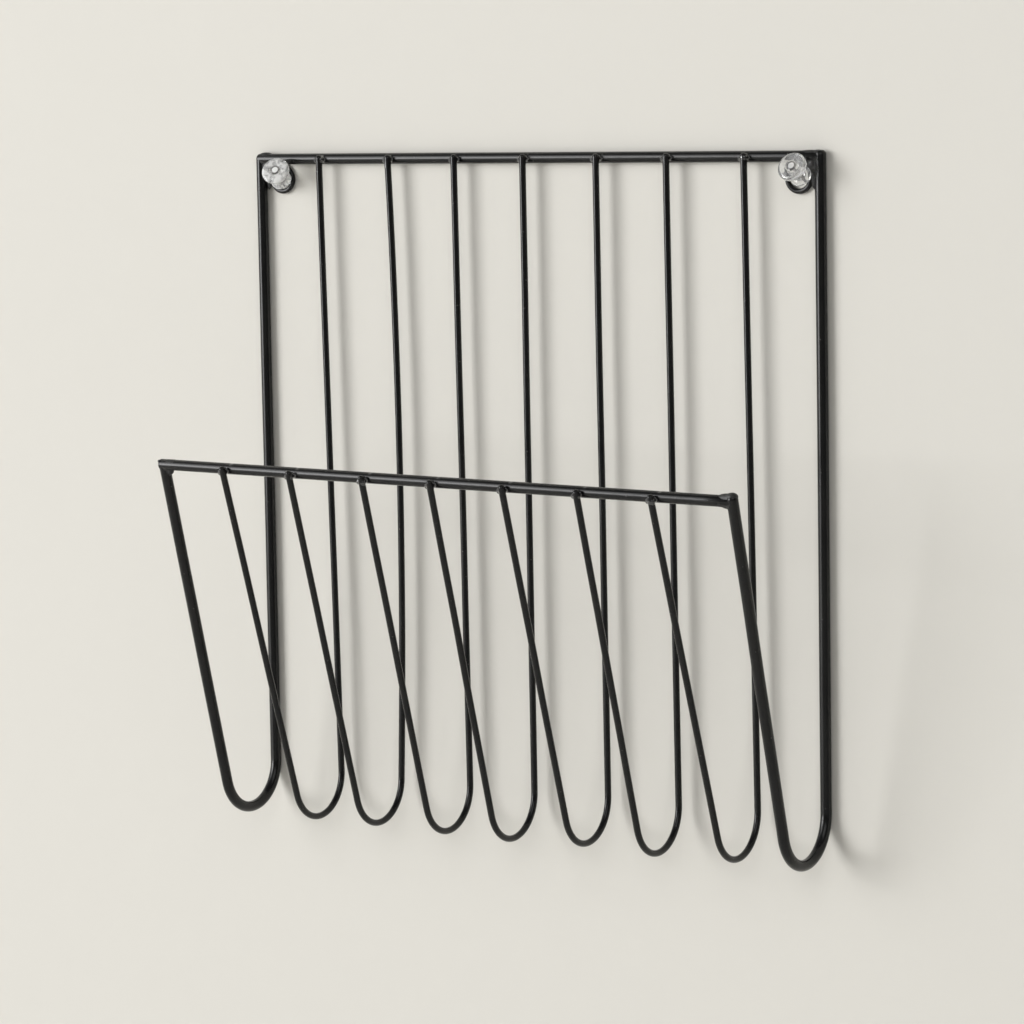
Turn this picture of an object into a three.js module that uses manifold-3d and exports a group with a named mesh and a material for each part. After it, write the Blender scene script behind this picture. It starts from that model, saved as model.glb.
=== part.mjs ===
// Wall rack for mail and papers: black steel rod and wire, hung on two clear push pins.
// Millimetres. +X right, +Z up, the viewer stands on the -Y side and the wall is the plane y = 0.
// The origin is on the wall side of the back top rail, halfway along it.

import * as THREE from 'three';
import { mergeVertices } from 'three/addons/utils/BufferGeometryUtils.js';
import Module from 'manifold-3d';

const wasm = await Module();
wasm.setup();

// Stock sizes
const rodRadius = 2.5;
const wireRadius = 1.5;
const eyeWireRadius = 1.2;
const gap = 0.3; // between neighbouring pieces, where the real ones are welded

// The frame
const sideSpacing = 295; // between the centre lines of the side rods
const backHeight = 304; // from the side rods' lowest centre point up to the back rail's centre
const frontHeightLeft = 169; // the same, up to the front rail's centre, at its left end
const frontHeightRight = 165; // and at its right end, which sits a little lower
const pocketDepth = 81.5; // from the side rods' back legs out to the front rail
const sideBendRadius = 19.7; // of the centre line at the bottom
const wireBendRadius = 18.4;
const rodTipProud = 0.8; // how far the right side rod's round tips stand above the rails
const tipBelowRailTop = 0.6; // how far the wires' round tips stay below the top of a rail

// The frame is welded by hand, so no rod is quite straight or square. Each entry is how far
// sideways the rod sits from its even place: at its top end, at its bend and at its front end.
// A bow is how far the back leg swings out in the middle, and a drop how much lower the bend hangs.
const leftRodOffset = { top: 0, bend: -2.6, front: 0 };
const rightRodOffset = { top: 0, bend: -1.7, front: 0 };
const wireOffsets = [
  { top: -1, bend: 1.7, front: -0.8 },
  { top: 0.5, bend: -1.1, front: -1.1, bow: 3 },
  { top: -0.2, bend: 0.2, front: 1.2, drop: 0.4 },
  { top: -0.3, bend: -1.7, front: 0.2, drop: 0.7 },
  { top: 1, bend: 0.6, front: 0.4, drop: -0.7 },
  { top: 0, bend: 0.4, front: 0.9, drop: 0.3 },
  { top: 1.8, bend: 3.6, front: 0.5, drop: -0.8 },
];

// Hanging eyes, in the upper corners of the back
const eyeRadius = 5.6; // of the ring's centre line
const eyeFromSideRod = 11.1; // from the side rod's centre line to the ring's centre
const eyeSides = 8;
const eyeSteps = 28;

// Push pins. Lengths run along the pin from the back of its flange, towards the viewer.
const flangeRadius = 4.8;
const flangeThickness = 1.2;
const neckRadius = 2.4;
const neckFlare = 0.9; // how much the neck widens where it meets the flange and the head
const headRadius = 6.5;
const headBack = 8.7;
const headRim = 10.1;
const headFront = 10.9;
const headDishRadius = 5.4; // inside this the head is nearly flat
const headCrown = 0.15; // how far that part stands out in the middle
const rimChamfer = 0.4; // at the rims of the flange and the disc
const blendLength = 1.4; // of the neck's widening ends
const blendEdge = 0.3; // what is left of that length where the neck is widest
const needleRadius = 0.55;
const needleInHead = 8; // the blind end of the needle, inside the head
const needleOut = 11; // from the flange to the point
const needlePoint = 2.2; // length of the tapered point
const flangeOffWall = 5.2; // from the wall to the middle of the flange's back
// Where the flange's back sits from the centre of its eye, and which way the pin leans.
const pins = [
  { side: 'left', x: 2, z: -0.4, up: 29, right: 18 },
  { side: 'right', x: 3.2, z: 0.8, up: 28.5, right: 1 },
];

// Facets
const rodSides = 12;
const bendSteps = 14;
const bowSteps = 10;
const pinSides = 28;

// Materials
const blackPaint = new THREE.MeshStandardMaterial({ color: 0x131314, roughness: 0.42, metalness: 0.15 });
const clearPlastic = new THREE.MeshStandardMaterial({
  color: 0xeef0ee,
  roughness: 0.08,
  metalness: 0,
  transparent: true,
  opacity: 0.35,
});
const steel = new THREE.MeshStandardMaterial({ color: 0xb9bbbd, roughness: 0.25, metalness: 1 });

const degrees = Math.PI / 180;
const bottomZ = -backHeight; // the side rods' lowest centre point
const backY = -rodRadius; // the side rods' back legs and the back rail
const lap = rodRadius + wireRadius + gap; // from a rail's centre line to that of a wire lying on it

// A regular polygon that a circle of this radius just fits inside, with flats on both axes.
function polygonPoints(radius, sides) {
  const corner = radius / Math.cos(Math.PI / sides);
  const points = [];
  for (let i = 0; i < sides; i += 1) {
    const angle = ((i + 0.5) / sides) * 2 * Math.PI;
    points.push(new THREE.Vector2(corner * Math.cos(angle), corner * Math.sin(angle)));
  }
  return points;
}

// A path through points that lie close together only where it bends.
class StationPath extends THREE.Curve {
  constructor(stations) {
    super();
    this.stations = stations;
  }

  getPoint(t, target = new THREE.Vector3()) {
    const place = t * (this.stations.length - 1);
    const from = Math.min(Math.floor(place), this.stations.length - 2);
    return target.lerpVectors(this.stations[from], this.stations[from + 1], place - from);
  }

  getPointAt(u, target) {
    return this.getPoint(u, target);
  }

  getTangentAt(u, target) {
    return this.getTangent(u, target);
  }
}

function sweep(stations, radius) {
  return new THREE.ExtrudeGeometry(new THREE.Shape(polygonPoints(radius, rodSides)), {
    steps: stations.length - 1,
    extrudePath: new StationPath(stations),
  });
}

function toSolid(geometry) {
  const bare = geometry.index ? geometry.toNonIndexed() : geometry.clone();
  bare.deleteAttribute('normal');
  bare.deleteAttribute('uv');
  const merged = mergeVertices(bare, 1e-4);
  return new wasm.Manifold(new wasm.Mesh({
    numProp: 3,
    vertProperties: merged.attributes.position.array,
    triVerts: Uint32Array.from(merged.index.array),
  }));
}

function toGeometry(solid) {
  const mesh = solid.getMesh();
  const geometry = new THREE.BufferGeometry();
  geometry.setAttribute('position', new THREE.BufferAttribute(mesh.vertProperties, 3));
  geometry.setIndex(new THREE.BufferAttribute(mesh.triVerts, 1));
  return geometry;
}

// A round cap for a rod's cut end, a little slimmer than the rod, with a foot that stands inside it.
const domeShare = 0.97;
const foot = 0.6;
const rings = 4;

function tipDome(radius, end, direction) {
  const base = radius * domeShare;
  const profile = [new THREE.Vector2(0, -foot), new THREE.Vector2(base, -foot)];
  for (let i = 0; i < rings; i += 1) {
    const angle = (i / rings) * 90 * degrees;
    profile.push(new THREE.Vector2(base * Math.cos(angle), base * Math.sin(angle)));
  }
  profile.push(new THREE.Vector2(0, base));
  const dome = new THREE.LatheGeometry(profile, rodSides);
  dome.applyQuaternion(new THREE.Quaternion().setFromUnitVectors(new THREE.Vector3(0, 1, 0), direction));
  dome.translate(end.x, end.y, end.z);
  return dome;
}

// The front rail's centre height over the width of the rack.
function frontRailZ(x) {
  const share = x / sideSpacing + 0.5;
  return bottomZ + frontHeightLeft + (frontHeightRight - frontHeightLeft) * share;
}

const frontRailY = backY - pocketDepth;

// In the side view, (y, z): the angle at which a bend about a centre ends, and the front leg leaves
// it as a tangent towards the front end. It is counted from +Y and is negative, as the bend goes
// down, under and up again.
function lastBendAngle(centre, radius, front) {
  const toFront = front.clone().sub(centre);
  return toFront.angle() + Math.acos(radius / toFront.length()) - 2 * Math.PI;
}

function polar(radius, angle) {
  return new THREE.Vector2(radius * Math.cos(angle), radius * Math.sin(angle));
}

// The two straight legs and the bend of one rod, as points along its centre line. The front leg
// stops short of the front end, a (y, z) point, or goes past it, by `past`.
function bentRodStations({ x, offset, topZ, y, bendRadius, lowestZ, front, past }) {
  const centre = new THREE.Vector2(y - bendRadius, lowestZ + bendRadius);
  const lastAngle = lastBendAngle(centre, bendRadius, front);
  const tangent = polar(bendRadius, lastAngle).add(centre);
  const leg = front.clone().sub(tangent);
  const end = leg.clone().setLength(leg.length() + past).add(tangent);
  const stations = [];
  const legSteps = offset.bow ? bowSteps : 1;
  for (let i = 0; i < legSteps; i += 1) {
    const t = i / legSteps;
    const bow = (offset.bow ?? 0) * 4 * t * (1 - t);
    const legX = x + THREE.MathUtils.lerp(offset.top, offset.bend, t) + bow;
    stations.push(new THREE.Vector3(legX, y, THREE.MathUtils.lerp(topZ, centre.y, t)));
  }
  for (let i = 0; i <= bendSteps; i += 1) {
    const point = polar(bendRadius, (lastAngle * i) / bendSteps).add(centre);
    stations.push(new THREE.Vector3(x + offset.bend, point.x, point.y));
  }
  stations.push(new THREE.Vector3(x + offset.front, end.x, end.y));
  return stations;
}

function bentRod(stations, radius, domed) {
  const rod = sweep(stations, radius);
  if (!domed) {
    return rod;
  }
  const last = stations.length - 1;
  const topEnd = tipDome(radius, stations[0], stations[0].clone().sub(stations[1]).normalize());
  const frontEnd = tipDome(radius, stations[last], stations[last].clone().sub(stations[last - 1]).normalize());
  return toGeometry(toSolid(rod).add(toSolid(topEnd)).add(toSolid(frontEnd)));
}

// The left side rod stops under both rails. The right one runs past their ends, to round tips.
function sideRod(sign) {
  const x = (sign * sideSpacing) / 2;
  const offset = sign < 0 ? leftRodOffset : rightRodOffset;
  const reach = sign < 0 ? -(rodRadius + gap) : rodTipProud; // of the straight rod past a rail's centre
  const stations = bentRodStations({
    x,
    offset,
    topZ: reach,
    y: backY,
    bendRadius: sideBendRadius,
    lowestZ: bottomZ,
    front: new THREE.Vector2(frontRailY, frontRailZ(x)),
    past: reach,
  });
  return bentRod(stations, rodRadius, sign > 0);
}

// Square to the side rods' front legs, away from the pocket.
function outwardAngle(x) {
  const centre = new THREE.Vector2(backY - sideBendRadius, bottomZ + sideBendRadius);
  return lastBendAngle(centre, sideBendRadius, new THREE.Vector2(frontRailY, frontRailZ(x)));
}

// A wire lies on the front of the back rail and on the outside of the front rail.
function wire(index) {
  const x = (index - (wireOffsets.length - 1) / 2) * (sideSpacing / (wireOffsets.length + 1));
  const offset = wireOffsets[index];
  const railTop = rodRadius - tipBelowRailTop - wireRadius; // the dome's own height comes off
  return bentRod(bentRodStations({
    x,
    offset,
    topZ: railTop,
    y: backY - lap,
    bendRadius: wireBendRadius,
    lowestZ: bottomZ - (offset.drop ?? 0) - (rodRadius - wireRadius) / 2,
    front: polar(lap, outwardAngle(x)).add(new THREE.Vector2(frontRailY, frontRailZ(x))),
    past: railTop,
  }), wireRadius, true);
}

// A straight rail between two points at the height of its centre line.
function rail(from, to) {
  return sweep([from, to], rodRadius);
}

// Both rails start flush with the outside of the left side rod and butt against the right one.
const railLeft = -sideSpacing / 2 - rodRadius;
const railRight = sideSpacing / 2 - rodRadius - gap;

function backTopRail() {
  return rail(new THREE.Vector3(railLeft, backY, 0), new THREE.Vector3(railRight, backY, 0));
}

function frontRail() {
  return rail(
    new THREE.Vector3(railLeft, frontRailY, frontRailZ(railLeft)),
    new THREE.Vector3(railRight, frontRailY, frontRailZ(railRight)),
  );
}

// The ring lies flat on the wall and nests under the back rail.
const eyeY = -eyeWireRadius;
const eyeZ = -Math.sqrt((rodRadius + eyeWireRadius + gap) ** 2 - (rodRadius - eyeWireRadius) ** 2) - eyeRadius;

function hangingEye() {
  const profile = polygonPoints(eyeWireRadius, eyeSides).map((point) => point.add(new THREE.Vector2(eyeRadius, 0)));
  profile.push(profile[0].clone());
  return new THREE.LatheGeometry(profile, eyeSteps);
}

// The clear head: flange, neck and disc turned about the pin's axis, with a blind hole for the needle.
function pinHead() {
  const hole = needleRadius + gap;
  const profile = [
    new THREE.Vector2(0, needleInHead + gap),
    new THREE.Vector2(hole, needleInHead + gap),
    new THREE.Vector2(hole, 0),
    new THREE.Vector2(flangeRadius - rimChamfer, 0),
    new THREE.Vector2(flangeRadius, rimChamfer),
    new THREE.Vector2(flangeRadius, flangeThickness - rimChamfer),
    new THREE.Vector2(flangeRadius - rimChamfer, flangeThickness),
    new THREE.Vector2(neckRadius + neckFlare, flangeThickness + blendEdge),
    new THREE.Vector2(neckRadius, flangeThickness + blendLength),
    new THREE.Vector2(neckRadius, headBack - blendLength),
    new THREE.Vector2(neckRadius + neckFlare, headBack - blendEdge),
    new THREE.Vector2(headRadius - rimChamfer, headBack),
    new THREE.Vector2(headRadius, headBack + rimChamfer),
    new THREE.Vector2(headRadius, headRim - rimChamfer),
    new THREE.Vector2(headRadius - rimChamfer, headRim),
    new THREE.Vector2(headDishRadius, headFront - headCrown),
    new THREE.Vector2(0, headFront),
  ];
  return new THREE.LatheGeometry(profile, pinSides);
}

function pinNeedle() {
  const profile = [
    new THREE.Vector2(0, -needleOut),
    new THREE.Vector2(needleRadius, needlePoint - needleOut),
    new THREE.Vector2(needleRadius, needleInHead),
    new THREE.Vector2(0, needleInHead),
  ];
  return new THREE.LatheGeometry(profile, rodSides);
}

function named(name, geometry, material) {
  const mesh = new THREE.Mesh(geometry, material);
  mesh.name = name;
  return mesh;
}

const rack = new THREE.Group();
rack.add(named('back_top_rail', backTopRail(), blackPaint));
rack.add(named('front_rail', frontRail(), blackPaint));
rack.add(named('left_side_rod', sideRod(-1), blackPaint));
rack.add(named('right_side_rod', sideRod(1), blackPaint));
for (let i = 0; i < wireOffsets.length; i += 1) {
  rack.add(named(`wire_${i + 1}`, wire(i), blackPaint));
}

const organizer = new THREE.Group();
organizer.add(rack);

for (const pin of pins) {
  const sign = pin.side === 'left' ? -1 : 1;
  const eyeX = sign * (sideSpacing / 2 - eyeFromSideRod);
  const eye = named(`${pin.side}_hanging_eye`, hangingEye(), blackPaint);
  eye.position.set(eyeX, eyeY, eyeZ);
  rack.add(eye);

  // The pin is turned from +Y to its own line, up and to the right, out of the wall.
  const out = new THREE.Vector3(
    Math.sin(pin.right * degrees) * Math.cos(pin.up * degrees),
    -Math.cos(pin.right * degrees) * Math.cos(pin.up * degrees),
    Math.sin(pin.up * degrees),
  );
  const pushPin = new THREE.Group();
  pushPin.add(named(`${pin.side}_pin_head`, pinHead(), clearPlastic));
  pushPin.add(named(`${pin.side}_pin_needle`, pinNeedle(), steel));
  pushPin.position.set(eyeX + pin.x, -flangeOffWall, eyeZ + pin.z);
  pushPin.quaternion.setFromUnitVectors(new THREE.Vector3(0, 1, 0), out);
  organizer.add(pushPin);
}

export default organizer;
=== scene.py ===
import math
import random

import bmesh
import bpy
from mathutils import Matrix, Vector


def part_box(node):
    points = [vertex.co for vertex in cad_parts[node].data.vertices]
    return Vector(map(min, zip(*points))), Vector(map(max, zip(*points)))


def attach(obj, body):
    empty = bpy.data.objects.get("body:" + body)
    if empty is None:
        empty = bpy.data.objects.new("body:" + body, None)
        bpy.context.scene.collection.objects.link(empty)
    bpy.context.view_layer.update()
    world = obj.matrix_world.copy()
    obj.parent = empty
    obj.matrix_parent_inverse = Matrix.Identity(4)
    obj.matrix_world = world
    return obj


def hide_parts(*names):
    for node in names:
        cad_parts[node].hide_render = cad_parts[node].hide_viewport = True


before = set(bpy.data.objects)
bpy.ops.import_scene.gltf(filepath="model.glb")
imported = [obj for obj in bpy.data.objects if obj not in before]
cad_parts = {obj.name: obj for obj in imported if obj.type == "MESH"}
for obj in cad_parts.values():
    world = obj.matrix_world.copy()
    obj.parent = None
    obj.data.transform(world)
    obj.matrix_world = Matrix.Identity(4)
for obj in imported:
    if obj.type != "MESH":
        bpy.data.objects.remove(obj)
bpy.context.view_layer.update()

# A wall rack for mail: black painted rod and wire, hung on two clear push pins.
# Shapes are written in millimetres and become metres when a piece is finished.

mm = 0.001
scene = bpy.context.scene
scene.view_settings.view_transform = "Standard"


# Camera

cameraSet = {
    "place": (920.5, -1451.6, 49.8),
    "yaw": -32.79,  # degrees from straight at the wall
    "pitch": -6.94,
    "roll": -1.37,
    "focalPixels": 3829.3,
    "imageSize": 1024,
    "sensor": 36,
    "clip": (0.05, 60),  # metres
}


def makeCamera():
    data = bpy.data.cameras.new("camera")
    data.sensor_width = cameraSet["sensor"]
    data.lens = cameraSet["focalPixels"] / cameraSet["imageSize"] * cameraSet["sensor"]
    data.clip_start, data.clip_end = cameraSet["clip"]
    camera = bpy.data.objects.new("camera", data)
    scene.collection.objects.link(camera)
    turn = Matrix.Rotation(math.radians(-cameraSet["yaw"]), 4, "Z")
    tilt = Matrix.Rotation(math.radians(90 + cameraSet["pitch"]), 4, "X")
    roll = Matrix.Rotation(math.radians(cameraSet["roll"]), 4, "Z")
    camera.matrix_world = Matrix.Translation(Vector(cameraSet["place"]) * mm) @ turn @ tilt @ roll
    scene.camera = camera


# Shader graphs

class Signal:
    # One socket of a shader, used in sums like a number

    def __init__(self, graph, socket):
        self.graph = graph
        self.socket = socket

    def __add__(self, other):
        return self.graph.math("ADD", self, other)

    def __radd__(self, other):
        return self.graph.math("ADD", other, self)

    def __sub__(self, other):
        return self.graph.math("SUBTRACT", self, other)

    def __rsub__(self, other):
        return self.graph.math("SUBTRACT", other, self)

    def __mul__(self, other):
        return self.graph.math("MULTIPLY", self, other)

    def __rmul__(self, other):
        return self.graph.math("MULTIPLY", other, self)


class Graph:
    # The nodes of a material or of the world

    def __init__(self, owner):
        owner.use_nodes = True
        self.nodes = owner.node_tree.nodes
        self.links = owner.node_tree.links
        self.nodes.clear()

    def add(self, kind, settings=None, sockets=None, take=0):
        node = self.nodes.new(kind)
        for name, value in (settings or {}).items():
            if name == "stops":
                self.setStops(node.color_ramp, value)
            else:
                setattr(node, name, value)
        for name, value in (sockets or {}).items():
            if isinstance(value, Signal):
                self.links.new(value.socket, node.inputs[name])
            else:
                node.inputs[name].default_value = value
        return Signal(self, node.outputs[take]) if node.outputs else node

    def setStops(self, ramp, stops):
        while len(ramp.elements) < len(stops):
            ramp.elements.new(1)
        for element, (place, level) in zip(ramp.elements, stops):
            element.position = place
            element.color = (level, level, level, 1)

    def math(self, operation, first, second):
        return self.add("ShaderNodeMath", {"operation": operation}, {0: first, 1: second})

    def blend(self, share, first, second):
        # Between two colours
        return self.add("ShaderNodeMix", {"data_type": "RGBA"}, {0: share, 6: first, 7: second}, 2)

    def noise(self, place, size, detail=2, roughness=0.5):
        # Grey noise with lumps about this wide, in the unit of the place
        sockets = {"Vector": place, "Scale": 1 / size, "Detail": detail, "Roughness": roughness}
        return self.add("ShaderNodeTexNoise", None, sockets)

    def ramp(self, value, stops):
        return self.add("ShaderNodeValToRGB", {"stops": stops}, {0: value})

    def rampAlong(self, length, span, stops):
        # Stops in millimetres. A ramp only runs from 0 to 1, which stands for the whole span here.
        return self.ramp(length * (1 / span), [(place / span, level) for place, level in stops])

    def bump(self, height):
        # Height in metres
        return self.add("ShaderNodeBump", None, {"Strength": 1, "Distance": 1, "Height": height})

    def end(self, shader, kind="ShaderNodeOutputMaterial"):
        self.add(kind, None, {"Surface": shader})


def newMaterial(name):
    material = bpy.data.materials.new(name)
    return material, Graph(material)


satinPaint = {
    "black": (0.003, 0.003, 0.0032, 1),
    "worn": (0.007, 0.0068, 0.0065, 1),
    "dust": (0.05, 0.048, 0.045, 1),
    "roughness": 0.24,
    "roughnessSpread": 0.12,
    "specular": 0.25,
    "coat": 0.16,
    "coatRoughness": 0.16,
    "peelSize": 0.9,  # the fine grain of the paint
    "peelDepth": 0.007,
    "swellSize": 5.5,  # slow waves, which break up long highlights
    "swellDepth": 0.05,
    "patchSize": 26,
    "wornStops": [(0.42, 0), (0.72, 1)],  # how much of the patches looks worn
    "dustSpacing": 4.5,
    "dustRadius": 0.05,  # as a share of the spacing
    "dustFade": 1.6,  # times that radius
    "dustRoughness": 0.2,
}
# The same paint over the rough skin of a corner weld, made lighter there as painted sheen of that skin,
# and where it gathered glossy on the laps
weldPaintWithPaintedSheen = dict(
    satinPaint, black=(0.009, 0.009, 0.009, 1), worn=(0.032, 0.0315, 0.03, 1), roughness=0.46,
    specular=0.4, coat=0.05, peelSize=0.6, peelDepth=0.035, swellSize=2.2, patchSize=2.5)
lapPaint = dict(
    satinPaint, roughness=0.12, specular=0.7, coat=1, coatRoughness=0.05, swellSize=3,
    swellDepth=0.03)


def makeBlackPaint(name, paint):
    material, graph = newMaterial(name)
    place = graph.add("ShaderNodeTexCoord", None, None, "Object")
    peel = graph.noise(place, paint["peelSize"] * mm)
    swell = graph.noise(place, paint["swellSize"] * mm, detail=1)
    patch = graph.noise(place, paint["patchSize"] * mm, detail=3, roughness=0.6)
    dustScale = 1 / (paint["dustSpacing"] * mm)
    cells = graph.add("ShaderNodeTexVoronoi", None, {"Vector": place, "Scale": dustScale})
    dust = graph.ramp(cells, [(paint["dustRadius"], 1), (paint["dustRadius"] * paint["dustFade"], 0)])
    worn = graph.ramp(patch, paint["wornStops"])
    colour = graph.blend(worn, paint["black"], paint["worn"])
    colour = graph.blend(dust, colour, paint["dust"])
    spread = paint["roughnessSpread"]
    smoothest = paint["roughness"] - spread * 0.75  # as both noises lie about a half
    roughness = patch * spread + peel * (spread / 2) + dust * paint["dustRoughness"] + smoothest
    height = peel * (paint["peelDepth"] * mm) + swell * (paint["swellDepth"] * mm)
    graph.end(graph.add("ShaderNodeBsdfPrincipled", None, {
        "Base Color": colour,
        "Roughness": roughness,
        "Specular IOR Level": paint["specular"],
        "Coat Weight": paint["coat"],
        "Coat Roughness": paint["coatRoughness"],
        "Normal": graph.bump(height),
    }))
    return material


clearPlastic = {
    "colour": (0.97, 0.975, 0.97, 1),
    "paintedRingShade": (0.06, 0.058, 0.054, 1),  # painted shade in the ring around the gate mark, where the neck shows dark through the head
    "paintedRingShadeShare": 0.92,
    "paintedRingShadeStops": [(1.4, 0), (1.6, 1), (2.1, 0.8), (2.6, 0)],  # millimetres from the pin's axis
    "cut": (0.93, 0.93, 0.92, 1),  # painted highlight: a white disc for the bright spot of light in the middle of the gate mark
    "cutShare": 0.5,
    "cutStops": [(1.25, 1), (1.5, 0)],
    "cutRoughness": 0.4,
    "cutDepth": 0.01,
    "markFade": 0.2,  # the painted highlight and the painted ring shade start to fade this far below the mark, and are gone in as much again
    "ior": 1.5,
    "transmission": 0.92,
    "roughness": 0.04,
    "scuff": 0.12,
    "scuffSize": 0.5,
    "scuffStops": [(0.5, 0), (0.72, 1)],
    "swirlSize": 2.2,  # flow marks of the moulding
    "swirlDepth": 0.05,
    "milkAndLight": 0.1,  # how white the crazed patches are; on the left pin most of this whiteness is painted light
    "milkSize": 2.1,
    "milkStops": [(0.4, 0.05), (0.58, 1)],
}
# The left pin's plastic is made milky and crazed, with a whiter middle: painted light, a lighter copy for
# the pin that lies in more light
paintedLightPlastic = dict(
    clearPlastic, transmission=0.9, scuff=0.1, cutShare=0.9, swirlDepth=0.06, milkAndLight=0.63,
    milkSize=3.6)


def makeClearPlastic(name, plastic):
    material, graph = newMaterial(name)
    place = graph.add("ShaderNodeAttribute", {"attribute_name": "local"}, None, "Vector")
    swirl = graph.noise(place, plastic["swirlSize"], detail=1)
    scuffed = graph.ramp(graph.noise(place, plastic["scuffSize"], detail=4), plastic["scuffStops"])
    crazed = graph.ramp(graph.noise(place, plastic["milkSize"]), plastic["milkStops"])
    across = graph.add("ShaderNodeVectorMath", {"operation": "MULTIPLY"}, {0: place, 1: (1, 1, 0)})
    radius = graph.add("ShaderNodeVectorMath", {"operation": "LENGTH"}, {0: across}, "Value")
    sockets = {0: place, 1: (0, 0, 1)}
    height = graph.add("ShaderNodeVectorMath", {"operation": "DOT_PRODUCT"}, sockets, "Value")
    heightSpan, radiusSpan = 20, 10  # both more than the head's own
    markEnd = pin["headFront"] - pin["markDepth"] - plastic["markFade"]
    atFront = graph.rampAlong(height, heightSpan, [(markEnd - plastic["markFade"], 0), (markEnd, 1)])
    # Painted highlight: a white disc in the middle of the gate mark
    cut = graph.rampAlong(radius, radiusSpan, plastic["cutStops"]) * atFront
    # Painted shade: a dark ring around the gate mark
    ring = graph.rampAlong(radius, radiusSpan, plastic["paintedRingShadeStops"]) * atFront
    body = graph.add("ShaderNodeBsdfPrincipled", None, {
        "Base Color": graph.blend(ring * plastic["paintedRingShadeShare"], plastic["colour"], plastic["paintedRingShade"]),
        "Roughness": scuffed * plastic["scuff"] + plastic["roughness"],
        "IOR": plastic["ior"],
        "Transmission Weight": plastic["transmission"],
        "Normal": graph.bump(swirl * (plastic["swirlDepth"] * mm)),
    })
    # The white of the painted highlight
    white = graph.add("ShaderNodeBsdfPrincipled", None, {
        "Base Color": plastic["cut"],
        "Roughness": plastic["cutRoughness"],
        "Normal": graph.bump(scuffed * (plastic["cutDepth"] * mm)),
    })
    # White share: the crazed patches, made much stronger on the left pin as painted light, and the
    # painted highlight of the gate mark
    share = crazed * (1 - cut) * (1 - ring) * plastic["milkAndLight"] + cut * plastic["cutShare"]
    graph.end(graph.add("ShaderNodeMixShader", None, {0: share, 1: body, 2: white}))
    return material


steel = {
    "bright": (0.66, 0.655, 0.64, 1),
    "dull": (0.42, 0.41, 0.40, 1),
    "roughness": 0.2,
    "spread": 0.16,
    "lineSize": 0.12,
    "lineStretch": 0.03,  # the drawn lines run along the needle
    "lineDepth": 0.004,
}


def makePinSteel():
    material, graph = newMaterial("drawnSteel")
    place = graph.add("ShaderNodeAttribute", {"attribute_name": "local"}, None, "Vector")
    drawn = graph.add("ShaderNodeMapping", None, {"Vector": place, "Scale": (1, 1, steel["lineStretch"])})
    lines = graph.noise(drawn, steel["lineSize"], detail=3)
    graph.end(graph.add("ShaderNodeBsdfPrincipled", None, {
        "Base Color": graph.blend(lines, steel["dull"], steel["bright"]),
        "Metallic": 1,
        "Roughness": lines * steel["spread"] + (steel["roughness"] - steel["spread"] / 2),
        "Normal": graph.bump(lines * (steel["lineDepth"] * mm)),
    }))
    return material


# Mesh helpers

mergeWithin = 1e-4  # vertices nearer than this are one


def finishPiece(name, bm, material, body, node=None):
    # From millimetres to metres, shaded smooth, and carried by a body of the frame
    bmesh.ops.remove_doubles(bm, verts=bm.verts, dist=mergeWithin)
    bmesh.ops.recalc_face_normals(bm, faces=bm.faces)
    bmesh.ops.scale(bm, vec=(mm, mm, mm), verts=bm.verts)
    for face in bm.faces:
        face.smooth = True
    mesh = bpy.data.meshes.new(name)
    bm.to_mesh(mesh)
    bm.free()
    mesh.materials.append(material)
    piece = bpy.data.objects.new(name, mesh)
    scene.collection.objects.link(piece)
    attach(piece, body)
    if node:
        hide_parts(node)
        print(f"{name}: {len(mesh.polygons)} faces, within {boxError(mesh, node):.2f} mm of {node}")
    else:
        print(f"{name}: {len(mesh.polygons)} faces")
    return piece


def boxError(mesh, node):
    # How far the piece's box is from the box of the solid that it stands for
    low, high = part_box(node)
    error = 0
    for axis in range(3):
        along = [v.co[axis] for v in mesh.vertices]
        error = max(error, abs(min(along) - low[axis]), abs(max(along) - high[axis]))
    return error / mm


def vertsOf(geom):
    return [g for g in geom if isinstance(g, bmesh.types.BMVert)]


def edgesAmong(bm, verts):
    # Sorted, so that every run gives the same mesh
    found = set(verts)
    bm.edges.index_update()
    edges = {e for v in verts for e in v.link_edges if e.other_vert(v) in found}
    return sorted(edges, key=lambda e: e.index)


def extrudeRing(bm, ring, move):
    ring = vertsOf(bmesh.ops.extrude_edge_only(bm, edges=edgesAmong(bm, ring))["geom"])
    bmesh.ops.translate(bm, vec=move, verts=ring)
    return ring


def closeEnd(bm, ring, centre, direction, radius, rounding, steps=7):
    # A cut end with a rounded rim
    along, size = 0, radius
    smallest = radius * 0.05  # so that a full dome still has a ring to fill
    for step in range(1, steps + 1):
        angle = step / steps * math.pi / 2
        nextAlong = rounding * math.sin(angle)
        nextSize = max(radius - rounding * (1 - math.cos(angle)), smallest)
        ring = extrudeRing(bm, ring, direction * (nextAlong - along))
        share = nextSize / size
        middle = centre + direction * nextAlong
        bmesh.ops.scale(bm, vec=(share, share, share), space=Matrix.Translation(-middle), verts=ring)
        along, size = nextAlong, nextSize
    bmesh.ops.edgeloop_fill(bm, edges=edgesAmong(bm, ring))


# The frame of rods and wires

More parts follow.
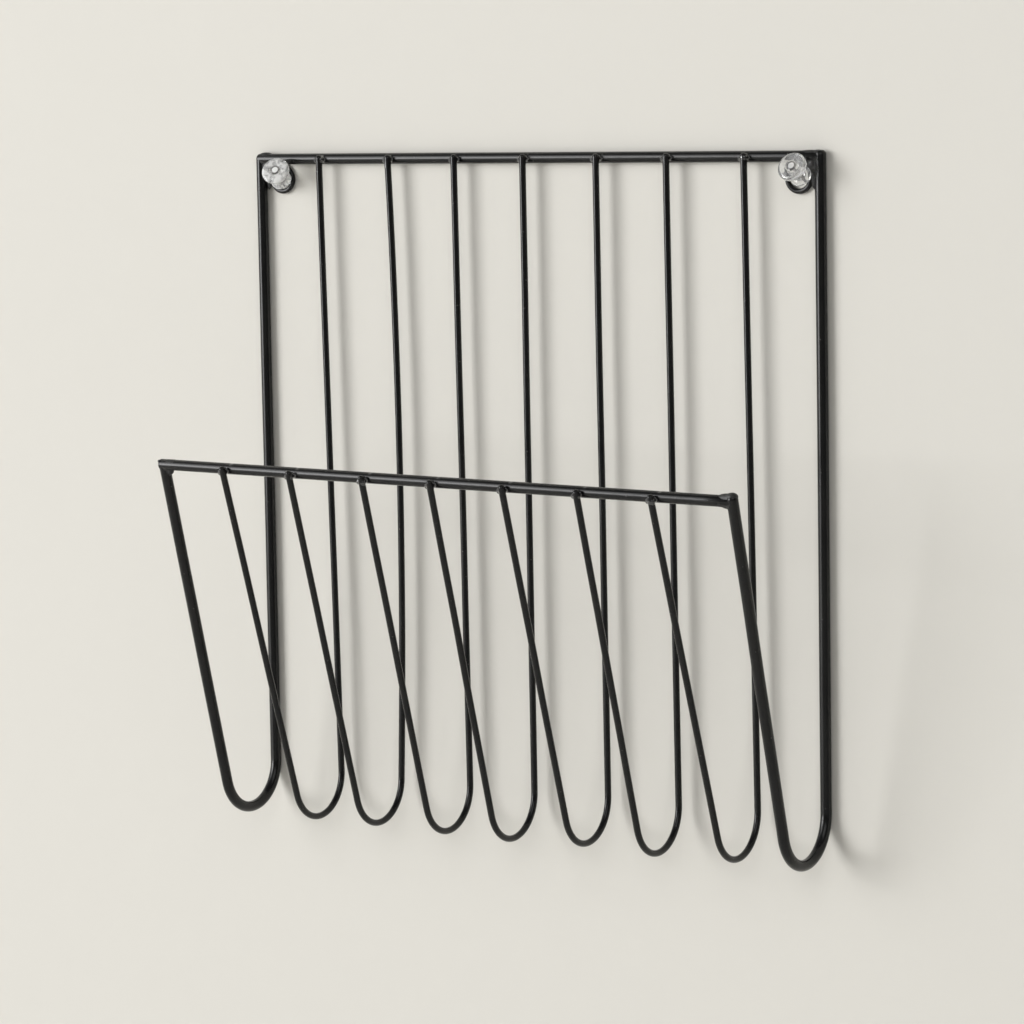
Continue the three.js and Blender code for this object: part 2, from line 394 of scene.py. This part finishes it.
rack = {
    "rodRadius": 2.5,
    "wireRadius": 1.5,
    "eyeWireRadius": 1.2,
    "gap": 0.3,  # between the solids, which the welds bridge
    "sideSpacing": 295,
    "backHeight": 304,
    "frontHeightLeft": 169,
    "frontHeightRight": 165,
    "pocketDepth": 81.5,
    "sideBendRadius": 19.7,
    "wireBendRadius": 18.4,
    "rodTipProud": 0.8,
    "tipBelowRailTop": 0.6,
    "eyeRadius": 5.6,
    "eyeFromSideRod": 11.1,
}
rodRadius = rack["rodRadius"]
wireRadius = rack["wireRadius"]
eyeWireRadius = rack["eyeWireRadius"]
lap = rodRadius + wireRadius + rack["gap"]
halfWidth = rack["sideSpacing"] / 2
bottomZ = -rack["backHeight"]
backY = -rodRadius
frontRailY = backY - rack["pocketDepth"]
domeShare = 0.97  # of the rods' radius, as the solids' tips have it

# How far each rod sits sideways from its even place at its top, bend and front end
leftRod = {"top": 0, "bend": -2.6, "front": 0}
rightRod = {"top": 0, "bend": -1.7, "front": 0.35}
wires = [
    {"top": -1, "bend": 1.7, "front": -0.8},
    {"top": 0.5, "bend": -1.1, "front": -1.1, "bow": 3},
    {"top": -0.2, "bend": 0.2, "front": 1.2, "drop": 0.4},
    {"top": -0.3, "bend": -1.7, "front": 0.2, "drop": 0.7},
    {"top": 1, "bend": 0.6, "front": 0.4, "drop": -0.7},
    {"top": 0, "bend": 0.4, "front": 0.9, "drop": 0.3},
    {"top": 1.8, "bend": 3.6, "front": 0.5, "drop": -0.8},
]

finish = {
    "rodSides": 40,
    "wireSides": 32,
    "legSteps": 24,
    "bendSteps": 40,
    "eyeSides": 28,
    "eyeSteps": 96,
    "waver": 0.05,  # how far each wave takes a drawn rod from its line
    "weakestWave": 0.4,  # as a share of that
    "waveCounts": (2, 3, 5),
    "backTipRounding": 1.9,
    "backTipDrop": 0.5,
    "frontTipRounding": 2.2,
    "wireTipRounding": 1.42,
    "frontWireReach": 0.9,  # the wires' front tips stand a little higher on the rail
    "railShort": 0.6,  # at the left, where the side rods' outline takes over
    "backCutRounding": 1.3,
    "frontCutRounding": 0.5,
    "hiddenReach": 2.7,  # how far an end runs on inside its neighbour
    "hiddenRodRounding": 0.2,
    "hiddenRailRounding": 0.1,
}


def frontRailPoint(x):
    share = x / rack["sideSpacing"] + 0.5
    left, right = rack["frontHeightLeft"], rack["frontHeightRight"]
    return Vector((x, frontRailY, bottomZ + left + (right - left) * share))


def bentPath(x, offset, y, bendRadius, lowestZ, front):
    # A rod down the wall, round its bend and up to the front. The angle of the bend is counted from +Y
    # and is negative, because the bend passes below its centre.
    centre = Vector((x + offset["bend"], y - bendRadius, lowestZ + bendRadius))
    reach = Vector((0, front.y - centre.y, front.z - centre.z))
    angle = math.atan2(reach.z, reach.y) + math.acos(bendRadius / reach.length) - 2 * math.pi
    return {
        "top": Vector((x + offset["top"], y, 0)),
        "bendStart": Vector((centre.x, y, centre.z)),
        "bendCentre": centre,
        "angle": angle,
        "bendEnd": centre + bendRadius * Vector((0, math.cos(angle), math.sin(angle))),
        "frontEnd": Vector((x + offset["front"], front.y, front.z)),
        "bow": offset.get("bow", 0),
    }


def sideRodPath(sign):
    x = sign * halfWidth
    offset = rightRod if sign > 0 else leftRod
    return bentPath(x, offset, backY, rack["sideBendRadius"], bottomZ, frontRailPoint(x))


def outward(x):
    # The unit vector square to the side rods' front legs, away from the pocket
    level = {"top": 0, "bend": 0, "front": 0}
    angle = bentPath(x, level, backY, rack["sideBendRadius"], bottomZ, frontRailPoint(x))["angle"]
    return Vector((0, math.cos(angle), math.sin(angle)))


def wirePath(index):
    x = (index - (len(wires) - 1) / 2) * rack["sideSpacing"] / (len(wires) + 1)
    lowest = bottomZ - wires[index].get("drop", 0) - (rodRadius - wireRadius) / 2
    front = frontRailPoint(x) + outward(x) * lap
    return bentPath(x, wires[index], backY - lap, rack["wireBendRadius"], lowest, front)


def extrudeLeg(bm, ring, start, end, seed, bow=0):
    # A straight leg, with the bow and the slight waver of a real rod
    drawn = random.Random(seed)
    waves = []
    for count in finish["waveCounts"]:
        turn = drawn.uniform(0, 6)
        waves.append((turn, drawn.uniform(finish["weakestWave"], 1) * finish["waver"], count))
    steps = finish["legSteps"]
    last = start
    for step in range(1, steps + 1):
        t = step / steps
        point = start.lerp(end, t)
        point.x += bow * 4 * t * (1 - t)  # the whole bow, half way
        for turn, size, count in waves:
            point.x += size * math.sin(math.pi * t) * math.sin(turn + count * math.pi * t)
        ring = extrudeRing(bm, ring, point - last)
        last = point
    return ring


def makeBentRod(name, node, path, radius, sides, topEnd, frontEnd, material):
    # Each end is how far the straight rod runs past the path's end, and its rounding
    up = Vector((0, 0, 1))
    onward = (path["frontEnd"] - path["bendEnd"]).normalized()
    top = path["top"] + up * topEnd[0]
    front = path["frontEnd"] + onward * frontEnd[0]
    bm = bmesh.new()
    section = Matrix.Translation(top)
    first = bmesh.ops.create_circle(bm, radius=radius, segments=sides, matrix=section)["verts"]
    ring = extrudeLeg(bm, first, top, path["bendStart"], name + " back", path["bow"])
    made = bmesh.ops.spin(
        bm, geom=ring + edgesAmong(bm, ring), cent=path["bendCentre"], axis=(1, 0, 0),
        angle=path["angle"], steps=finish["bendSteps"])
    ring = extrudeLeg(bm, vertsOf(made["geom_last"]), path["bendEnd"], front, name + " front")
    closeEnd(bm, first, top, up, radius, topEnd[1])
    closeEnd(bm, ring, front, onward, radius, frontEnd[1])
    return finishPiece(name, bm, material, "rack", node)


def roundTip(radius, rounding, past):
    # Its top stands where the solid's dome has it
    return past + domeShare * radius - rounding, rounding


def makeSideRods(material):
    past = rack["rodTipProud"]
    hidden = (finish["hiddenReach"] - rodRadius - rack["gap"], finish["hiddenRodRounding"])
    makeBentRod(
        "painted_left_side_rod", "left_side_rod", sideRodPath(-1), rodRadius, finish["rodSides"],
        hidden, hidden, material)
    makeBentRod(
        "painted_right_side_rod", "right_side_rod", sideRodPath(1), rodRadius, finish["rodSides"],
        roundTip(rodRadius, finish["backTipRounding"], past - finish["backTipDrop"]),
        roundTip(rodRadius, finish["frontTipRounding"], past), material)


def makeWires(material):
    past = rodRadius - rack["tipBelowRailTop"] - wireRadius
    tip = roundTip(wireRadius, finish["wireTipRounding"], past)
    frontTip = roundTip(wireRadius, finish["wireTipRounding"], past + finish["frontWireReach"])
    for index in range(len(wires)):
        node = f"wire_{index + 1}"
        makeBentRod(
            "painted_" + node, node, wirePath(index), wireRadius, finish["wireSides"],
            tip, frontTip, material)


def makeRail(name, node, start, end, rounding, material):
    onward = (end - start).normalized()
    start = start + onward * (finish["railShort"] + rounding)
    end = end + onward * finish["hiddenReach"]
    bm = bmesh.new()
    section = Matrix.Translation(start) @ Matrix.Rotation(math.pi / 2, 4, "Y")
    first = bmesh.ops.create_circle(
        bm, radius=rodRadius, segments=finish["rodSides"], matrix=section)["verts"]
    ring = extrudeRing(bm, first, end - start)
    closeEnd(bm, first, start, -onward, rodRadius, rounding)
    closeEnd(bm, ring, end, onward, rodRadius, finish["hiddenRailRounding"], steps=2)
    long = [e for e in bm.edges if e.calc_length() > rack["sideSpacing"] / 2]
    bmesh.ops.subdivide_edges(bm, edges=long, cuts=finish["legSteps"] - 1, use_grid_fill=True)
    return finishPiece(name, bm, material, "rack", node)


def makeRails(material):
    left = -halfWidth - rodRadius
    right = halfWidth - rodRadius - rack["gap"]
    makeRail(
        "painted_back_top_rail", "back_top_rail", Vector((left, backY, 0)), Vector((right, backY, 0)),
        finish["backCutRounding"], material)
    makeRail(
        "painted_front_rail", "front_rail", frontRailPoint(left), frontRailPoint(right),
        finish["frontCutRounding"], material)


# Hanging eyes

def eyeCentre(sign):
    nest = rodRadius + eyeWireRadius + rack["gap"]
    z = -math.sqrt(nest ** 2 - (rodRadius - eyeWireRadius) ** 2) - rack["eyeRadius"]
    return Vector((sign * (halfWidth - rack["eyeFromSideRod"]), -eyeWireRadius, z))


def makeEye(side, sign, material):
    centre = eyeCentre(sign)
    bm = bmesh.new()
    section = Matrix.Translation(centre + Vector((rack["eyeRadius"], 0, 0)))
    ring = bmesh.ops.create_circle(
        bm, radius=eyeWireRadius, segments=finish["eyeSides"], matrix=section)["verts"]
    bmesh.ops.spin(
        bm, geom=ring + edgesAmong(bm, ring), cent=centre, axis=(0, 1, 0),
        angle=2 * math.pi, steps=finish["eyeSteps"], use_merge=True)
    return finishPiece(f"painted_{side}_eye", bm, material, "rack", f"{side}_hanging_eye")


# Welds: short stubs of the joined rods and lumps of metal beside them, melted into one skin. A stub is
# hardly thicker than its rod, so what shows is the lumps and the skin in the corners between the rods.

weld = {
    "voxel": 0.25,
    "rounds": 14,  # of smoothing
    "smoothing": 0.5,
    "rodStub": 2.51,
    "wireStub": 1.53,
    "stubSides": 32,
    "lapAlongRail": 4,
    "lapAlongWire": 5,
    "lapNugget": (1.45, 0.9, 1.4),
    "lapCollar": (1.75, 1.6, 1.7),  # the wire, pressed flat and wide where it was welded
    "collarInset": 0.2,
    "collarDown": 0.15,
    "strayAcross": (-0.3, 0.3),  # how far nuggets and collars sit from their even places
    "strayUp": (-0.3, 0.1),
    "spread": 0.18,  # how unlike one another their sizes are
    "bead": (1.35, 0.7, 1.5),  # the lump at the left of every lap
    "beadInset": 0.5,
    "beadDown": 0.6,
    "beadLeft": 2.1,
    "cornerReach": 7,
    "aboveLeft": 0,  # how far above the rails' centre lines the side rods' stubs start
    "aboveRight": 0.5,
}
# The lumps of metal at each corner: where from the crossing of the centre lines (inward, back and up)
# and their half sizes
cornerMetal = {
    "back_left": [((2.6, 0.2, 1.45), (4.4, 2, 1.75))],
    "back_right": [((5.2, 0, 1.15), (7.2, 2, 1.65)), ((1, 0, 1.35), (2.9, 2, 1.6))],
    "front_left": [((3, 0.6, -2.9), (1.7, 1.5, 1.8)), ((-1.5, -1.6, 1.55), (1.05, 1, 0.93))],
    "front_right": [
        ((2.5, 0, 1.55), (4.7, 2.2, 1.85)),
        ((0.1, -0.2, 2), (2.75, 2.45, 1.9)),
        ((3.1, 0.4, -2.1), (2.1, 1.7, 1.1)),
    ],
}
# The same for the metal that joins an eye to its corner
eyeMetal = [
    ((3.6, 0.1, -3.6), (2.8, 2.2, 3)),
    ((3.4, 1, -9.4), (1.8, 1.2, 5)),
    ((11.1, 0.9, -2.6), (2.4, 0.9, 0.9)),
]


def addStub(bm, start, end, radius):
    along = end - start
    place = Matrix.Translation((start + end) / 2) @ along.to_track_quat("Z", "Y").to_matrix().to_4x4()
    bmesh.ops.create_cone(
        bm, cap_ends=True, segments=weld["stubSides"], radius1=radius, radius2=radius,
        depth=along.length, matrix=place)


def addNugget(bm, centre, sizes, tilt=0):
    place = Matrix.LocRotScale(centre, Matrix.Rotation(tilt, 3, "X").to_quaternion(), Vector(sizes))
    bmesh.ops.create_icosphere(bm, subdivisions=3, radius=1, matrix=place)


def meltTogether(bm, name):
    mesh = bpy.data.meshes.new(name)
    bm.to_mesh(mesh)
    bm.free()
    raw = bpy.data.objects.new(name + "_raw", mesh)
    scene.collection.objects.link(raw)
    remesh = raw.modifiers.new("remesh", "REMESH")
    remesh.mode = "VOXEL"
    remesh.voxel_size = weld["voxel"]
    melted = bmesh.new()
    melted.from_object(raw, bpy.context.evaluated_depsgraph_get())
    bpy.data.objects.remove(raw)
    bpy.data.meshes.remove(mesh)
    for turn in range(weld["rounds"]):
        bmesh.ops.smooth_vert(
            melted, verts=melted.verts, factor=weld["smoothing"], use_axis_x=True, use_axis_y=True,
            use_axis_z=True)
    return melted


def addLap(bm, railCentre, wireCentre, wireDown, drawn):
    # A wire lying across a rail
    sideways = Vector((weld["lapAlongRail"], 0, 0))
    out = (wireCentre - railCentre).normalized()
    tilt = math.atan2(out.z, out.y)
    addStub(bm, railCentre - sideways, railCentre + sideways, weld["rodStub"])
    addStub(bm, wireCentre, wireCentre + wireDown * weld["lapAlongWire"], weld["wireStub"])
    touch = wireCentre - out * wireRadius
    collar = wireCentre - out * weld["collarInset"]
    for middle, base in ((touch, weld["lapNugget"]), (collar, weld["lapCollar"])):
        sizes = [size * drawn.uniform(1 - weld["spread"], 1 + weld["spread"]) for size in base]
        stray = Vector((drawn.uniform(*weld["strayAcross"]), 0, drawn.uniform(*weld["strayUp"])))
        addNugget(bm, middle + wireDown * weld["collarDown"] + stray, sizes, tilt)
    bead = wireCentre - out * weld["beadInset"] + wireDown * weld["beadDown"]
    addNugget(bm, bead + Vector((-weld["beadLeft"], 0, 0)), weld["bead"], tilt)


def makeLapWelds(material):
    drawn = random.Random(5)
    backs, fronts = bmesh.new(), bmesh.new()
    for index in range(len(wires)):
        path = wirePath(index)
        top, end = path["top"], path["frontEnd"]
        down = (path["bendStart"] - top).normalized()
        addLap(backs, Vector((top.x, backY, 0)), top, down, drawn)
        down = (path["bendEnd"] - end).normalized()
        addLap(fronts, frontRailPoint(end.x), end, down, drawn)
    finishPiece("back_lap_welds", meltTogether(backs, "backs"), material, "rack")
    finishPiece("front_lap_welds", meltTogether(fronts, "fronts"), material, "rack")


def makeCornerWeld(corner, crossing, down, inward, above, metal, material):
    # Where the centre lines of a rail and a side rod cross
    bm = bmesh.new()
    reach = weld["cornerReach"]
    addStub(bm, crossing + inward, crossing + inward * reach, weld["rodStub"])
    addStub(bm, crossing - down * above, crossing + down * reach, weld["rodStub"])
    for (along, back, up), sizes in metal:
        addNugget(bm, crossing + inward * along + Vector((0, back, up)), sizes)
    name = corner + "_corner_weld"
    finishPiece(name, meltTogether(bm, name), material, "rack")


def makeCornerWelds(material):
    for side, sign, above in (("left", -1, weld["aboveLeft"]), ("right", 1, weld["aboveRight"])):
        inward = Vector((-sign, 0, 0))
        path = sideRodPath(sign)
        corner = "back_" + side
        down = (path["bendStart"] - path["top"]).normalized()
        metal = cornerMetal[corner] + eyeMetal
        makeCornerWeld(corner, path["top"], down, inward, above, metal, material)
        corner = "front_" + side
        down = (path["bendEnd"] - path["frontEnd"]).normalized()
        makeCornerWeld(corner, path["frontEnd"], down, inward, above, cornerMetal[corner], material)


# Push pins. Heights run along the pin from the back of its flange, towards the viewer.

pin = {
    "flangeRadius": 4.8,
    "flangeThickness": 1.2,
    "neckRadius": 2.4,
    "neckFillet": 1.25,
    "headRadius": 6.5,
    "headBack": 8.7,
    "headRim": 10.1,
    "headFront": 10.9,
    "dishRadius": 5.4,
    "headCrown": 0.15,
    "markRadius": 2.3,  # of the ring that the mould leaves in the middle of the head
    "markDepth": 0.45,
    "lipWidth": 0.35,  # from that ring out to the dish
    "lipDrop": 0.04,
    "nubInset": 0.6,  # from that ring in to the nub in its middle
    "nubDrop": 0.1,
    "rimRounding": 0.42,
    "faceRounding": 0.47,
    "dishRounding": 0.52,
    "lipRounding": 0.1,
    "markRounding": 0.12,
    "nubRounding": 0.2,
    "needleRadius": 0.55,
    "needleInHead": 8,
    "needleOut": 11,
    "needlePoint": 2.2,  # the length of its taper
    "pointRadius": 0.055,
    "pointLength": 0.05,
    "taperRounding": 0.3,
    "needleEndRounding": 0.15,
    "flangeOffWall": 5.2,
    "sides": 96,
    "roundingSteps": 5,
    "mergeWithin": 1e-3,
}
# Where each pin's flange is from the middle of its eye, and how many degrees the pin leans up and right
pinPlaces = {
    "left": {"sign": -1, "x": 2, "z": -0.4, "up": 29, "right": 18},
    "right": {"sign": 1, "x": 3.2, "z": 0.8, "up": 28.5, "right": 1},
}


def pinMatrix(place):
    up, right = math.radians(place["up"]), math.radians(place["right"])
    out = Vector((math.sin(right) * math.cos(up), -math.cos(right) * math.cos(up), math.sin(up)))
    start = eyeCentre(place["sign"]) + Vector((place["x"], 0, place["z"]))
    start.y = -pin["flangeOffWall"]
    return Matrix.Translation(start) @ out.to_track_quat("Z", "X").to_matrix().to_4x4()


def spinProfile(points):
    # A profile of radius, height and rounding at each point, turned about the Z axis. The shape before
    # it is put in place is kept for the materials, whose patterns follow it.
    bm = bmesh.new()
    chain = [bm.verts.new((radius, 0, height)) for radius, height, rounding in points]
    for first, second in zip(chain, chain[1:]):
        bm.edges.new((first, second))
    roundings = [rounding for radius, height, rounding in points]
    for size in sorted(set(roundings) - {0}):
        corners = [vert for vert, rounding in zip(chain, roundings) if rounding == size]
        bmesh.ops.bevel(
            bm, geom=corners, affect="VERTICES", offset=size, offset_type="OFFSET",
            segments=pin["roundingSteps"], profile=0.5, material=-1, clamp_overlap=True)
    bmesh.ops.spin(
        bm, geom=list(bm.verts) + list(bm.edges), cent=(0, 0, 0), axis=(0, 0, 1),
        angle=2 * math.pi, steps=pin["sides"], use_merge=True)
    bmesh.ops.remove_doubles(bm, verts=bm.verts, dist=pin["mergeWithin"])
    local = bm.verts.layers.float_vector.new("local")
    for vert in bm.verts:
        vert[local] = vert.co
    return bm


def makePin(side, clear, bright):
    matrix = pinMatrix(pinPlaces[side])
    rim, fillet = pin["rimRounding"], pin["neckFillet"]
    front, ring = pin["headFront"], pin["markRadius"]
    head = spinProfile([
        (0, 0, 0),
        (pin["flangeRadius"], 0, rim),
        (pin["flangeRadius"], pin["flangeThickness"], rim),
        (pin["neckRadius"], pin["flangeThickness"], fillet),
        (pin["neckRadius"], pin["headBack"], fillet),
        (pin["headRadius"], pin["headBack"], rim),
        (pin["headRadius"], pin["headRim"], pin["faceRounding"]),
        (pin["dishRadius"], front - pin["headCrown"], pin["dishRounding"]),
        (ring + pin["lipWidth"], front - pin["lipDrop"], pin["lipRounding"]),
        (ring, front - pin["markDepth"], pin["markRounding"]),
        (ring - pin["nubInset"], front - pin["nubDrop"], pin["nubRounding"]),
        (0, front, 0),
    ])
    bmesh.ops.transform(head, matrix=matrix, verts=head.verts)
    finishPiece(f"{side}_clear_head", head, clear, f"{side}_pin", f"{side}_pin_head")
    out, inHead = pin["needleOut"], pin["needleInHead"]
    needle = spinProfile([
        (0, -out, 0),
        (pin["pointRadius"], pin["pointLength"] - out, 0),
        (pin["needleRadius"], pin["needlePoint"] - out, pin["taperRounding"]),
        (pin["needleRadius"], inHead, pin["needleEndRounding"]),
        (0, inHead, 0),
    ])
    bmesh.ops.transform(needle, matrix=matrix, verts=needle.verts)
    finishPiece(f"{side}_steel_needle", needle, bright, f"{side}_pin", f"{side}_pin_needle")


# Wall, floor and light

room = {
    "wall": (0.655, 0.638, 0.592, 1),
    "floor": (0.87, 0.86, 0.83, 1),
    "wallOff": 0.05,  # behind the rack
    "floorDrop": 1000,
    "floorSize": 20000,
    "wallSize": 8000,
    "roughness": 0.85,
    "specular": 0.2,
    "grainSize": 4,
    "grainDepth": 0.03,
    "brightSide": (-0.97, -0.2, 0.1),  # of the room, where its light comes from
    "skyStops": [(0.6, 0.14), (0.9, 0.9)],
}
# Daylight from the left, the weaker light above it from the upper room, and a weak fill at the right.
# Each stands away from the middle of the rack, which it faces.
lamps = [
    {"name": "window", "from": (-0.665, -0.737, 0.122), "away": 7000, "size": (3400, 3000), "power": 330},
    {"name": "ceiling", "from": (-0.6, -0.64, 0.47), "away": 6000, "size": (3000, 2000), "power": 58},
    {"name": "fill", "from": (0.47, -0.72, 0.51), "away": 3600, "size": (2200, 2200), "power": 24},
]


def makeSurface(name, matrix, size, colour, oneSided):
    material, graph = newMaterial(name)
    place = graph.add("ShaderNodeTexCoord", None, None, "Object")
    grain = graph.noise(place, room["grainSize"] * mm, detail=3, roughness=0.6)
    surface = graph.add("ShaderNodeBsdfPrincipled", None, {
        "Base Color": colour,
        "Roughness": room["roughness"],
        "Specular IOR Level": room["specular"],
        "Normal": graph.bump(grain * (room["grainDepth"] * mm)),
    })
    if oneSided:  # seen from behind, the wall lets the eye through
        back = graph.add("ShaderNodeNewGeometry", None, None, "Backfacing")
        clear = graph.add("ShaderNodeBsdfTransparent")
        surface = graph.add("ShaderNodeMixShader", None, {0: back, 1: surface, 2: clear})
    graph.end(surface)
    bm = bmesh.new()
    bmesh.ops.create_grid(bm, x_segments=2, y_segments=2, size=size / 2 * mm, matrix=matrix)
    mesh = bpy.data.meshes.new(name)
    bm.to_mesh(mesh)
    bm.free()
    mesh.materials.append(material)
    piece = bpy.data.objects.new(name, mesh)
    scene.collection.objects.link(piece)


def makeRoom():
    floorZ = -room["floorDrop"] * mm
    upright = Matrix.Rotation(math.pi / 2, 4, "X")  # its face towards the viewer
    wallMiddle = Matrix.Translation((0, room["wallOff"] * mm, floorZ + room["wallSize"] / 2 * mm))
    makeSurface("wall", wallMiddle @ upright, room["wallSize"], room["wall"], True)
    makeSurface("floor", Matrix.Translation((0, 0, floorZ)), room["floorSize"], room["floor"], False)
    world = bpy.data.worlds.new("room")
    scene.world = world
    graph = Graph(world)
    direction = graph.add("ShaderNodeTexCoord", None, None, "Generated")
    sockets = {0: direction, 1: Vector(room["brightSide"]).normalized()}
    brightness = graph.add("ShaderNodeVectorMath", {"operation": "DOT_PRODUCT"}, sockets, "Value")
    level = graph.ramp(brightness, room["skyStops"])
    graph.end(graph.add("ShaderNodeBackground", None, {"Color": level}), "ShaderNodeOutputWorld")
    for lamp in lamps:
        data = bpy.data.lights.new(lamp["name"], "AREA")
        data.shape = "RECTANGLE"
        data.size, data.size_y = lamp["size"][0] * mm, lamp["size"][1] * mm
        data.energy = lamp["power"]
        source = bpy.data.objects.new(lamp["name"], data)
        source.visible_camera = False
        scene.collection.objects.link(source)
        towards = Vector(lamp["from"]).normalized()
        middle = Vector((0, 0, bottomZ / 2))
        turn = towards.to_track_quat("Z", "Y").to_matrix().to_4x4()
        source.matrix_world = Matrix.Translation((middle + towards * lamp["away"]) * mm) @ turn


makeCamera()
print("camera stands")
black = makeBlackPaint("satinPaint", satinPaint)
roughWithPaintedSheen = makeBlackPaint("weldPaintWithPaintedSheen", weldPaintWithPaintedSheen)
glossy = makeBlackPaint("lapPaint", lapPaint)
makeRails(black)
makeSideRods(black)
makeWires(black)
print("rods and wires are bent")
for side, sign in (("left", -1), ("right", 1)):
    makeEye(side, sign, black)
makeLapWelds(glossy)
makeCornerWelds(roughWithPaintedSheen)
print("rack is welded")
bright = makePinSteel()
makePin("left", makeClearPlastic("paintedLightPlastic", paintedLightPlastic), bright)
makePin("right", makeClearPlastic("clearPlastic", clearPlastic), bright)
print("pins are in")
makeRoom()
print("room is lit")
